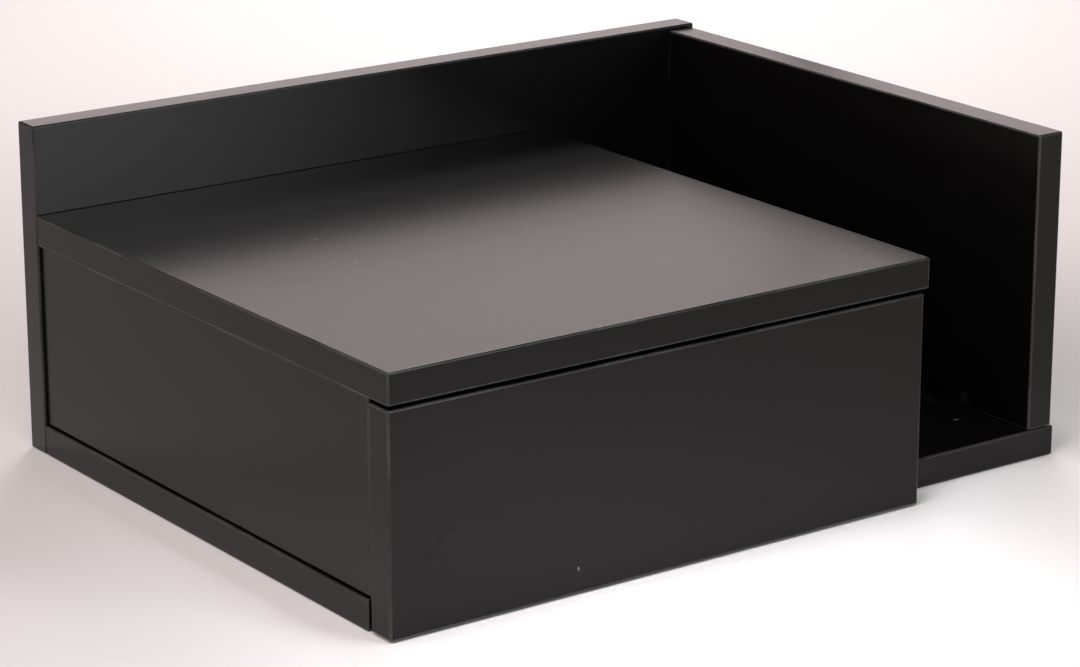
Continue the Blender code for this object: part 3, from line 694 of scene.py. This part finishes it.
def hexagon_cutter(radius):
    line = [(0, REACH), (radius, REACH), (radius, -radius), (0, -radius * SOCKET_POINT)]
    return [add_object("hexagon", turned("hexagon", line, 6))]


def grown(profile, by=GAP):
    """The hole that a profile needs: wider all round, open above and deeper below."""
    top, bottom = profile[0][1], profile[-1][1]
    ends = {top: top + REACH, bottom: bottom - by}
    return [(radius + by if radius else 0, ends.get(height, height)) for radius, height in profile]


def screw_hole(head, length, sizes):
    crest, rim = sizes["shank"], sizes["rim"]
    shank = [(crest, crest - head - rim), (crest, -length), (0, -length)]
    return grown([(0, 0), (head, 0), (head, -rim), *shank])


def domed_hole(length, sizes):
    """Only the shank's hole: the head lies on the board."""
    return [(0, -sizes["rise"] + REACH), *screw_hole(sizes["shank"], length, {**sizes, "rim": 0.0})[1:]]


class Kind:
    """One kind of fastener: which nodes are of it, which way their heads face, its solid and its hole."""

    def __init__(self, prefixes, solid, hole):
        self.prefixes = prefixes
        self.solid = solid
        self.hole = hole

    def nodes(self):
        for prefix, direction in self.prefixes.items():
            for node in sorted(n for n in frame["nodes"] if n.startswith(prefix)):
                yield node, direction


def first_size(prefixes):
    """The head's radius and the length of the first node of a kind."""
    prefix, direction = next(iter(prefixes.items()))
    node = sorted(n for n in frame["nodes"] if n.startswith(prefix))[0]
    return radius_of(node, direction), top_of(node, direction)[1]


def panel_screws():
    prefixes = {"back_screw": (0, 1, 0), "bottom_screw": (0, 0, -1)}
    head, length = first_size(prefixes)
    recess = hexagon_cutter(PANEL_SCREW["socket"])
    solid = countersunk_screw("panel_screw", head, length, PANEL_SCREW, recess)
    return Kind(prefixes, solid, screw_hole(head, length, PANEL_SCREW))


def small_screws():
    prefixes = {
        "hanger_screw": (0, 1, 0),
        "cabinet_runner_screw_left": (1, 0, 0),
        "cabinet_runner_screw_right": (-1, 0, 0),
        "drawer_runner_screw_left": (-1, 0, 0),
        "drawer_runner_screw_right": (1, 0, 0),
    }
    head, length = first_size(prefixes)
    recess = cross_recess(head, SMALL_SCREW)
    solid = countersunk_screw("small_screw", head, length, SMALL_SCREW, recess)
    return Kind(prefixes, solid, screw_hole(head, length, SMALL_SCREW))


def front_screws():
    prefixes = {"front_screw": (0, 1, 0)}
    head, length = first_size(prefixes)
    solid = domed_screw("front_screw", head, length, FRONT_SCREW, cross_recess(head, FRONT_SCREW))
    return Kind(prefixes, solid, domed_hole(length, FRONT_SCREW))


def cam_locks():
    """The round cam, with a rim and a cross recess."""
    prefixes = {"cam_lock_left": (1, 0, 0), "cam_lock_right": (-1, 0, 0)}
    radius, length = first_size(prefixes)
    face = [(0, -GAP), (radius - CAM_FACE_RIM, -GAP), (radius - CAM_FACE_RIM + GAP, 0), (radius, 0)]
    line = [*face, (radius, -length), (0, -length)]
    recess = cross_cutters(radius, length * CAM_RECESS_SHARE, CAM_SLOT)
    solid = cut_mesh(turned("cam", rounded(line, EDGE_ROUND), FINE_SIDES), recess)
    hole = grown([(0, 0), (radius, 0), (radius, -length), (0, -length)])
    return Kind(prefixes, solid, hole)


def cam_bolts():
    prefixes = {"cam_bolt": (0, 0, 1)}
    length = first_size(prefixes)[1]
    crest, shank, slim, depth = (CAM_BOLT[key] for key in ("thread", "shank", "neck", "depth"))
    shoulder = CAM_BOLT["shoulder"]
    head = -length + CAM_BOLT["head"]
    neck = head + CAM_BOLT["neck_length"]
    core = crest * CAM_BOLT["core"]
    count = round(depth / CAM_BOLT["pitch"] * THREAD_STEPS)
    threaded = [(core, -depth * i / count) for i in range(count + 1)]
    line = [(shank, -depth - GAP), (shank, neck + shoulder), (slim, neck), (slim, head + shoulder)]
    line += [(shank, head), (shank, -length), (0, -length)]
    thread = thread_of(core, crest, CAM_BOLT["pitch"], 0.0, -depth)
    solid = turned("cam_bolt", [(0, 0), *threaded, *rounded(line, FINE_ROUND)], SHANK_SIDES, thread)
    hole = [(0, GAP), (crest + GAP, GAP), (crest + GAP, -depth)]
    hole += [(shank + GAP, -depth - GAP / 2), (shank + GAP, -length - GAP), (0, -length - GAP)]
    return Kind(prefixes, solid, hole)


KINDS = [panel_screws(), small_screws(), front_screws(), cam_locks(), cam_bolts()]


def holes_through(node):
    """Cutters for every fastener that passes into a node, apart from the node itself."""
    low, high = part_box(node)
    cutters = []
    for kind in KINDS:
        for fastener, direction in kind.nodes():
            start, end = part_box(fastener)
            if fastener != node and all(s < h and e > l for s, e, l, h in zip(start, end, low, high)):
                mesh = turned("hole", kind.hole, ROUND_SIDES)
                cutters.append(add_object("hole", mesh, facing(top_of(fastener, direction)[0], direction)))
    return cutters


def fit_fasteners():
    """Every fastener, at its CAD node's place. A cam is also cut by its bolt's hole."""
    for kind in KINDS:
        for node, direction in kind.nodes():
            obj = add_object(f"{node}_turned", kind.solid, facing(top_of(node, direction)[0], direction))
            if node.startswith("cam_lock"):
                bake(obj, holes_through(node))
            stand_for(node, obj)


# ---------------------------------------------------------------- lacquered boards


def hanger_plates():
    return sorted(n for n in frame["nodes"] if n.startswith("hanger_plate"))


def keyhole_cutters(plate):
    """The keyhole of a hanger plate: a round entry, and a slot up from it."""
    low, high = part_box(plate)
    middle = (low + high) / 2
    entry = middle.z - KEYHOLE_SLOT_LENGTH / 2
    line = [(0, REACH), (KEYHOLE_RADIUS, REACH), (KEYHOLE_RADIUS, -2 * REACH), (0, -2 * REACH)]
    hole = add_object("entry", turned("entry", line), facing((middle.x, high.y, entry), (0, 1, 0)))
    start = (middle.x, high.y + REACH, middle.z)
    return [hole, stadium(start, KEYHOLE_SLOT_RADIUS, KEYHOLE_SLOT_LENGTH, 4 * REACH)]


def stadium(place, radius, straight, depth, turn=0.0):
    """A cutter with round ends, upright unless it is turned about Y. It runs from place along -Y."""
    length = straight + 2 * radius
    mesh = slab_mesh("stadium", 2 * radius, length, depth, radius - ROUND_MARGIN, 16)
    spin = Matrix.Rotation(math.radians(turn), 4, "Y")
    return add_object("stadium", mesh, Matrix.Translation(place) @ spin)


def hanger_recesses():
    """Where the plates lie in the back, and the pocket behind each keyhole."""
    cutters = []
    for plate in hanger_plates():
        low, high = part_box(plate)
        middle, size = (low + high) / 2, high - low
        start = (middle.x, high.y + REACH, middle.z)
        seat = size.x / 2 + GAP
        cutters.append(stadium(start, seat, size.z - size.x, size.y + GAP + REACH))
        pocket = KEYHOLE_RADIUS + HEAD_POCKET_MARGIN
        cutters.append(stadium(start, pocket, KEYHOLE_SLOT_LENGTH, HEAD_POCKET_DEPTH + REACH))
    return cutters


def latch_hole():
    """The stepped hole for the latch's sleeve, in the divider's front edge."""
    way = (0, -1, 0)
    place, length = top_of("latch_sleeve", way)
    collar = radius_of("latch_sleeve", way) + GAP
    deep = LATCH["collar"] + GAP
    body = LATCH["body"] + GAP
    end = -length - GAP
    line = [(0, REACH), (collar, REACH), (collar, -deep), (body, -deep), (body, end), (0, end)]
    return [add_object("latch_hole", turned("latch_hole", line), facing(place, way))]


def lacquered_board(node, more_cutters=()):
    """The board at a CAD board's place, with finely rounded edges and its fasteners' holes."""
    obj = add_object(f"{node}_lacquered", box_mesh(node, *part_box(node)))
    add_bevel(obj, ARRIS, ARRIS_SEGMENTS)
    bake(obj)
    obj.data.materials.append(LACQUERS_AND_PAINTED_LIGHT.get(node, MATERIALS["black_lacquer"]))
    # the faces of the rounded edges take the edge material, which is a painted highlight
    obj.data.materials.append(LACQUERS_AND_PAINTED_LIGHT["edges"])
    for face in obj.data.polygons:
        face.material_index = int(max(abs(part) for part in face.normal) < FLAT_FACE)
    cutters = [*holes_through(node), *more_cutters]
    if cutters:
        bake(obj, cutters)
    stand_for(node, with_flat_faces(obj))


def hanger_plate(node):
    """A stamped plate with round ends, a keyhole and two countersunk holes."""
    low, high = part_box(node)
    size = high - low
    mesh = slab_mesh(node, size.x, size.z, size.y, size.x / 2 - ROUND_MARGIN, 16)
    place = Matrix.Translation(((low.x + high.x) / 2, high.y, (low.z + high.z) / 2))
    obj = add_object(f"{node}_stamped", mesh, place)
    add_bevel(obj, EDGE_ROUND, 2, BEVEL_ANGLE)
    bake(obj, [*keyhole_cutters(node), *holes_through(node)])
    stand_for(node, with_flat_faces(obj))


def carcass():
    lacquered_board("back_panel", hanger_recesses())
    lacquered_board("divider_panel", latch_hole())
    for node in ("bottom_panel", "top_panel", "left_side_panel", "right_side_panel", "drawer_front"):
        lacquered_board(node)
    for node in hanger_plates():
        hanger_plate(node)


# ---------------------------------------------------------------- runners


def arc(centre, radius, start, end, steps):
    """Points on an arc, from one angle to another in degrees."""
    angles = [math.radians(start + (end - start) * i / steps) for i in range(steps + 1)]
    return [(centre[0] + radius * math.cos(a), centre[1] + radius * math.sin(a)) for a in angles]


def runner_lines(height):
    """The bent lines of the members and the cages, and the middles of the ball rows.

    All are (distance from the wall, height) points.
    """
    track = BALL_RADIUS + BALL_CLEARANCE + RUNNER_SHEET / 2
    web = GAP + RUNNER_SHEET / 2
    outer = (web + track, height / 2 - RUNNER_SHEET / 2 - track)
    apart = 2 * track
    inner = (outer[0] + apart * math.cos(NESTING_LEAN), outer[1] + apart * math.sin(NESTING_LEAN))
    drawer_web = RUNNER_SPACE - GAP - RUNNER_SHEET / 2

    def whole(upper):
        return upper + [(away, -up) for away, up in reversed(upper)]

    under_outer = arc(outer, track, *ARCS["under"])
    lip = arc(inner, track, *ARCS["lip"])
    lip_end = lip[-1][1]
    bend = [lip[-2], lip[-1], (drawer_web, lip_end), (drawer_web, lip_end - ELBOW_DROP)]
    elbow = rounded(bend, ELBOW_RADIUS, 6)
    middle_web = under_outer[-1][0]
    outer_web = (web + middle_web) / 2
    inner_web = (middle_web + RUNNER_SHEET / 2 + lip[0][0] - RUNNER_SHEET / 4) / 2
    grip = BALL_RADIUS * CAGE_GRIP

    def cage(row, cage_web):
        corner = [(row[0] + grip, row[1]), (cage_web, row[1]), (cage_web, row[1] - CAGE_DROP)]
        return whole(rounded(corner, CAGE_BEND, 4)[:-1])

    return {
        "cabinet": whole(arc(outer, track, *ARCS["cabinet"])),
        "middle": whole(arc(inner, track, *ARCS["middle"]) + under_outer[1:]),
        "drawer": whole(lip[:-2] + elbow[:-1]),
        "outer_cage": (cage(outer, outer_web), outer),
        "inner_cage": (cage(inner, inner_web), inner),
    }


def bent_strip(name, line, wall, inward, height, span, sheet):
    """Sheet metal bent along a line, and drawn along Y.

    inward is 1 where the drawer is on the wall's +X side, and -1 on the other wall.
    """
    shape = bmesh.new()
    rows = [[shape.verts.new((wall + inward * away, y, height + up)) for away, up in line] for y in span]
    for i in range(len(line) - 1):
        shape.faces.new((rows[0][i], rows[0][i + 1], rows[1][i + 1], rows[1][i]))
    obj = add_object(name, mesh_of(name, shape))
    solid = obj.modifiers.new("sheet", "SOLIDIFY")
    solid.thickness = sheet
    solid.offset = 0.0
    solid.use_even_offset = True
    add_bevel(obj, sheet * SHEET_ROUND, 2, BEVEL_ANGLE)
    return bake(obj)


def punches(node, wall, inward, insets, radius, straight=0.0):
    """Cutters for round holes through a member's web, or for slots that run along it."""
    low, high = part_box(node)
    middle = (low.z + high.z) / 2
    reach = RUNNER_SPACE
    line = [(0, reach), (radius, reach), (radius, -reach), (0, -reach)]
    across = Matrix.Rotation(math.radians(90), 4, "Z")
    cutters = []
    for inset in insets:
        place = Vector((wall, low.y + inset, middle))
        if straight:
            slot = stadium((0, reach, 0), radius, straight, 2 * reach, 90)
            slot.matrix_world = Matrix.Translation(place) @ across @ slot.matrix_world
            cutters.append(slot)
        else:
            cutters.append(add_object("punch", turned("punch", line), facing(place, (inward, 0, 0))))
    return cutters


def ball_row(name, row, wall, inward, height, span, body):
    """Steel balls above and below, in the seats of a cage."""
    shape = bmesh.new()
    for place in ball_places(row, wall, inward, height, span):
        at = Matrix.Translation(place)
        bmesh.ops.create_uvsphere(shape, u_segments=20, v_segments=12, radius=BALL_RADIUS, matrix=at)
    obj = add_object(name, mesh_of(name, shape))
    obj.data.shade_smooth()
    obj.data.materials.append(MATERIALS["bearing_steel"])
    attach(obj, body)


def ball_places(row, wall, inward, height, span):
    pitch = (span[1] - span[0]) / BALLS_PER_ROW
    ups = (row[1], -row[1])
    steps = [span[0] + pitch * (i + 0.5) for i in range(BALLS_PER_ROW)]
    return [Vector((wall + inward * row[0], y, height + up)) for up in ups for y in steps]


def runner(side, inward):
    """The three members of one runner, and its two cages with their balls."""
    cabinet, middle, drawer = (f"runner_{kind}_{side}" for kind in ("cabinet", "middle", "drawer"))
    low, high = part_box(cabinet)
    wall = low.x - GAP if inward > 0 else high.x + GAP
    height = (low.z + high.z) / 2
    lines = runner_lines(high.z - low.z)
    span = (low.y, high.y)
    extra = {
        cabinet: punches(cabinet, wall, inward, CABINET_SLOT_INSETS, SLOT_RADIUS, SLOT_LENGTH),
        middle: punches(middle, wall, inward, ACCESS_INSETS, ACCESS_HOLE_RADIUS),
        drawer: punches(drawer, wall, inward, DRAWER_SLOT_INSETS, SLOT_RADIUS, SLOT_LENGTH),
    }
    for kind, node in (("cabinet", cabinet), ("middle", middle), ("drawer", drawer)):
        obj = bent_strip(f"{node}_rolled", lines[kind], wall, inward, height, span, RUNNER_SHEET)
        bake(obj, [*extra[node], *holes_through(node)])
        stand_for(node, with_flat_faces(obj))
    for kind in ("outer_cage", "inner_cage"):
        node = f"ball_{kind}_{side}"
        line, row = lines[kind]
        low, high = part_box(node)
        cage_span = (low.y, high.y)
        obj = bent_strip(f"{node}_stamped", line, wall, inward, height, cage_span, CAGE_SHEET)
        seat_radius = BALL_RADIUS + SEAT_MARGIN
        seat = [(0, REACH), (seat_radius, REACH), (seat_radius, -REACH), (0, -REACH)]
        seats = [
            add_object("seat", turned("seat", seat, 24), Matrix.Translation(place))
            for place in ball_places(row, wall, inward, height, cage_span)
        ]
        bake(obj, seats)
        stand_for(node, with_flat_faces(obj))
        ball_row(f"balls_{kind}_{side}", row, wall, inward, height, cage_span, BODY_OF[node])


# ---------------------------------------------------------------- push latch


def turned_fitting(node, made, line, place):
    stand_for(node, add_object(f"{node}_{made}", turned(node, line, FINE_SIDES), place))


def latch():
    """The sleeve, the plunger and its spring in the divider, and the plate on the front that they strike."""
    forward = (0, -1, 0)
    place, length = top_of("latch_sleeve", forward)
    collar = radius_of("latch_sleeve", forward)
    bottom = -length + LATCH["wall"]
    sleeve = [
        (0, bottom),
        (LATCH["bore"], bottom),
        (LATCH["bore"], 0),
        (collar, 0),
        (collar, -LATCH["collar"]),
        (LATCH["body"], -LATCH["collar"]),
        (LATCH["body"], -length),
        (0, -length),
    ]
    turned_fitting("latch_sleeve", "moulded", rounded(sleeve, EDGE_ROUND), facing(place, forward))

    place, length = top_of("latch_plunger", forward)
    slim = radius_of("latch_plunger", forward)
    tip = PLUNGER_TIP_RADIUS
    start, end, depth, slope = (PLUNGER_GROOVE[key] for key in ("start", "end", "depth", "slope"))
    plunger = [(0, 0), (tip, 0), (tip, -start), (tip - depth, -start - slope), (tip - depth, -end + slope)]
    plunger += [(tip, -end), (tip, -PLUNGER_TIP), (slim, -PLUNGER_TIP - GAP), (slim, -length), (0, -length)]
    turned_fitting("latch_plunger", "moulded", rounded(plunger, PLUNGER_ROUND), facing(place, forward))

    rearward = (0, 1, 0)
    place, length = top_of("strike_plate", rearward)
    radius = radius_of("strike_plate", rearward)
    floor, rim, depth = (STRIKE_DISH[key] for key in ("floor", "rim", "depth"))
    dished = [(0, -depth), (radius * floor, -depth), (radius * rim, 0), (radius, 0)]
    dished += [(radius, -length), (0, -length)]
    turned_fitting("strike_plate", "pressed", rounded(dished, FINE_ROUND), facing(place, rearward))
    latch_spring()


def latch_spring():
    """A coil with closed ends."""
    low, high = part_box("latch_spring")
    x, z = (low.x + high.x) / 2, (low.z + high.z) / 2
    radius = (high.z - low.z) / 2 - SPRING_WIRE
    curve = bpy.data.curves.new("latch_spring_wire", "CURVE")
    curve.dimensions = "3D"
    curve.bevel_depth = SPRING_WIRE
    curve.bevel_resolution = 3
    curve.use_fill_caps = True
    wire = curve.splines.new("POLY")
    wire.points.add(SPRING_TURNS * SPRING_POINTS)
    start, end = low.y + SPRING_WIRE, high.y - SPRING_WIRE
    closed = 2 * SPRING_WIRE / (end - start)  # the share of the length that a closed end turn takes
    for i, point in enumerate(wire.points):
        turn = i / SPRING_POINTS
        if turn < 1:
            share = closed * turn
        elif turn > SPRING_TURNS - 1:
            share = 1 - closed * (SPRING_TURNS - turn)
        else:
            share = closed + (1 - 2 * closed) * (turn - 1) / (SPRING_TURNS - 2)
        angle = 2 * math.pi * turn
        across, up = radius * math.cos(angle), radius * math.sin(angle)
        point.co = (x + across, start + (end - start) * share, z + up, 1)
    guide = add_object("guide", curve)
    mesh = evaluated_mesh(guide)
    bpy.data.objects.remove(guide)
    weld(mesh)
    obj = add_object("latch_spring_wound", mesh)
    smooth(obj.data)
    stand_for("latch_spring", obj)
    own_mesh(obj)


# ---------------------------------------------------------------- studio


def softbox(name, place, aim, size, radiance, colour=(1.0, 0.97, 0.97), spread=180.0):
    """A square light of an even brightness. The camera doesn't see it."""
    light = bpy.data.lights.new(name, "AREA")
    light.shape = "SQUARE"
    light.size = size
    light.color = colour
    light.energy = radiance * math.pi * size ** 2 * 3 / sum(colour)
    light.spread = math.radians(spread)
    obj = add_object(name, light)
    obj.location = place
    obj.rotation_mode = "QUATERNION"
    obj.rotation_quaternion = (Vector(aim) - Vector(place)).to_track_quat("-Z", "Y")
    obj.visible_camera = False


def around(azimuth, elevation, distance, height=0.0):
    """A place round the hutch. Azimuth 0 is in front of it, and 90 is to its right."""
    a, e = math.radians(azimuth), math.radians(elevation)
    flat = distance * math.cos(e)
    return (flat * math.sin(a), -flat * math.cos(a), distance * math.sin(e) + height)


def glow_from_left(strength):
    """A wide pale glow in the world on the hutch's left."""
    world = bpy.data.worlds.new("studio")
    bpy.context.scene.world = world
    world.use_nodes = True
    tree = world.node_tree
    background = tree.nodes["Background"]
    background.inputs["Color"].default_value = (1.0, 0.86, 0.82, 1)
    toward = tree.nodes.new("ShaderNodeVectorMath")
    toward.operation = "DOT_PRODUCT"
    tree.links.new(tree.nodes.new("ShaderNodeTexCoord").outputs["Generated"], toward.inputs[0])
    toward.inputs[1].default_value = Vector((-1, 0, 0.3)).normalized()
    values = toward.outputs["Value"]
    for operation, number in (("MAXIMUM", 0.0), ("POWER", 2.0), ("MULTIPLY", strength), ("ADD", 0.02)):
        step = tree.nodes.new("ShaderNodeMath")
        step.operation = operation
        tree.links.new(values, step.inputs[0])
        step.inputs[1].default_value = number
        values = step.outputs[0]
    tree.links.new(values, background.inputs["Strength"])


def studio():
    shape = bmesh.new()
    bmesh.ops.create_grid(shape, x_segments=1, y_segments=1, size=6.0)
    floor = add_object("floor", mesh_of("floor", shape))
    floor.data.materials.append(pale_floor())

    glow_from_left(2.2)
    warm = (1.0, 0.86, 0.86)
    cool = (0.965, 0.965, 1.0)
    hutch = (0.0, 0.0, 0.12)
    softbox("front_right", around(24, 12, 2.4, 0.1), hutch, 0.7, 7.5, cool)
    softbox("front_right_low", around(18, 8, 2.4, 0.1), hutch, 0.7, 2.6, cool)
    softbox("behind", around(150, 18.4, 3.16), (0, 0, 0.1), 1.3, 1.25, warm)
    softbox("behind_right", around(125, 18.4, 3.16), (0, 0, 0.1), 1.3, 1.3, warm)
    softbox("floor_behind", (0.9, 1.2, 1.3), (0.5, 0.7, 0.0), 0.6, 3.3, spread=90)
    softbox("floor_front", (0.05, -0.42, 0.55), (0.03, -0.25, 0.0), 0.2, 0.7, cool, 60)
    softbox("near_left", (-0.35, -0.35, 0.5), (-0.35, -0.35, 0.0), 0.25, 5.6, cool)
    softbox("near_front", (-0.12, -0.24, 0.35), (-0.12, -0.24, 0.0), 0.12, 2.0, cool, 80)
    softbox("overhead", (0.0, -0.1, 0.9), (0.0, -0.1, 0.0), 0.22, 1.1, cool, 36)


def camera():
    data = bpy.data.cameras.new("camera")
    data.lens = LENS
    data.sensor_width = 36.0
    obj = add_object("camera", data)
    toward = Vector(around(AZIMUTH, ELEVATION, 1.0))
    obj.location = TARGET + toward * DISTANCE
    obj.rotation_mode = "QUATERNION"
    obj.rotation_quaternion = (-toward).to_track_quat("-Z", "Y")
    data.clip_start, data.clip_end = 0.05, 50.0
    bpy.context.scene.camera = obj


# ---------------------------------------------------------------- assembly


for name, node in frame["nodes"].items():
    node.data.materials.clear()
    node.data.materials.append(MATERIALS[SLOT_OF[name]])
carcass()
fit_fasteners()
runner("left", 1)
runner("right", -1)
latch()
studio()
camera()
bpy.context.scene.view_settings.view_transform = "Standard"
